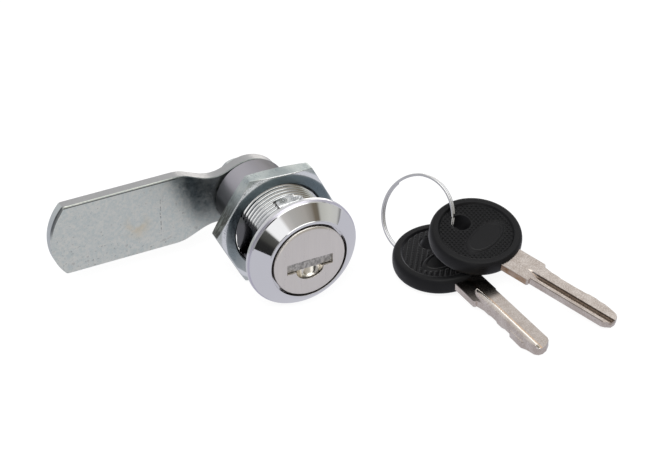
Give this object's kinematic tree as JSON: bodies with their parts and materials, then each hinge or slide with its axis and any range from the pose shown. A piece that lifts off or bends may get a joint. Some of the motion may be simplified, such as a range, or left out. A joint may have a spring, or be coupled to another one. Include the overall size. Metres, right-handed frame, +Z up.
{
  "type": "cam lock",
  "caption": "Threaded barrel cam lock with a round bezel, shuttered key slot, hexagon nut, flat cam arm and round-bow keys on a split ring.",
  "frame": {"origin": "on the barrel axis, in the plane where the bezel seats on the panel", "axes": "+Y along the barrel from the panel seat to the cam; -Y is the key side; +Z up; the cam arm points along -X"},
  "size_m": [0.097, 0.0691, 0.0248],
  "materials": {
    "chrome_zinc": "bright chrome plated zinc casting",
    "zinc_plated_steel": "blue passivated zinc plate",
    "plug_zinc": "nickel plated zinc casting",
    "satin_stainless": "satin stainless sheet",
    "shutter_steel": "plain steel sheet",
    "spring_steel": "drawn spring wire",
    "wafer_brass": "stamped brass sheet",
    "nickel_key": "nickel plated, fine grained",
    "black_plastic": "moulded, textured faces",
    "ring_wire": "nickel plated wire"
  },
  "bodies": {
    "lock_housing": {"housing": "chrome_zinc"},
    "nut": {"mounting_nut": "zinc_plated_steel"},
    "turning_plug": {"plug": "plug_zinc", "face_cap": "satin_stainless", "shutter_pin": "satin_stainless", "shutter_spring": "spring_steel", "wafer_spring_1": "spring_steel", "wafer_spring_2": "spring_steel", "wafer_spring_3": "spring_steel", "wafer_spring_4": "spring_steel", "wafer_spring_5": "spring_steel", "wafer_spring_6": "spring_steel", "stop_washer": "zinc_plated_steel", "cam": "zinc_plated_steel", "spring_washer": "zinc_plated_steel", "cam_screw": "zinc_plated_steel"},
    "shutter_leaf": {"shutter": "shutter_steel"},
    "wafer_1_body": {"wafer_1": "wafer_brass"},
    "wafer_2_body": {"wafer_2": "wafer_brass"},
    "wafer_3_body": {"wafer_3": "wafer_brass"},
    "wafer_4_body": {"wafer_4": "wafer_brass"},
    "wafer_5_body": {"wafer_5": "wafer_brass"},
    "wafer_6_body": {"wafer_6": "wafer_brass"},
    "ring": {"key_ring": "ring_wire"},
    "key_a": {"key_a_blade": "nickel_key", "key_a_bow": "black_plastic"},
    "key_b": {"key_b_blade": "nickel_key", "key_b_bow": "black_plastic"}
  },
  "joints": [
    {"name": "nut_travel", "type": "slide", "parent": "lock_housing", "child": "nut", "axis": [0, 1, 0], "range_m": [-0.0085, 0]},
    {"name": "plug_turn", "type": "hinge", "parent": "lock_housing", "child": "turning_plug", "pos_m": [0, 0, 0], "axis": [0, 1, 0], "range_deg": [0, 90]},
    {"name": "shutter_swing", "type": "hinge", "parent": "turning_plug", "child": "shutter_leaf", "pos_m": [0, -0.00316, 0.00135], "axis": [1, 0, 0], "range_deg": [0, 75], "stiffness_Nm_per_rad": 0.0002, "springref_deg": -22.92},
    {"name": "wafer_1_slide", "type": "slide", "parent": "turning_plug", "child": "wafer_1_body", "axis": [-1, 0, 0], "range_m": [0, 0.0006], "stiffness_N_per_m": 60, "springref_m": -0.001},
    {"name": "wafer_2_slide", "type": "slide", "parent": "turning_plug", "child": "wafer_2_body", "axis": [-1, 0, 0], "range_m": [0, 0.0006], "stiffness_N_per_m": 60, "springref_m": -0.001},
    {"name": "wafer_3_slide", "type": "slide", "parent": "turning_plug", "child": "wafer_3_body", "axis": [-1, 0, 0], "range_m": [0, 0.0006], "stiffness_N_per_m": 60, "springref_m": -0.001},
    {"name": "wafer_4_slide", "type": "slide", "parent": "turning_plug", "child": "wafer_4_body", "axis": [-1, 0, 0], "range_m": [0, 0.0006], "stiffness_N_per_m": 60, "springref_m": -0.001},
    {"name": "wafer_5_slide", "type": "slide", "parent": "turning_plug", "child": "wafer_5_body", "axis": [-1, 0, 0], "range_m": [0, 0.0006], "stiffness_N_per_m": 60, "springref_m": -0.001},
    {"name": "wafer_6_slide", "type": "slide", "parent": "turning_plug", "child": "wafer_6_body", "axis": [-1, 0, 0], "range_m": [0, 0.0006], "stiffness_N_per_m": 60, "springref_m": -0.001},
    {"name": "key_set_lift", "type": "slide", "parent": "lock_housing", "child": "ring", "axis": [0, 0, 1], "range_m": [0, 0.03]},
    {"name": "key_a_round_ring", "type": "hinge", "parent": "ring", "child": "key_a", "pos_m": [0.02977, 0.00546, -0.00394], "axis": [-0.7787, -0.3938, 0.4884], "range_deg": [0, 40]},
    {"name": "key_b_round_ring", "type": "hinge", "parent": "ring", "child": "key_b", "pos_m": [0.02977, 0.00546, -0.00394], "axis": [-0.7787, -0.3938, 0.4884], "range_deg": [-30, 0]}
  ]
}
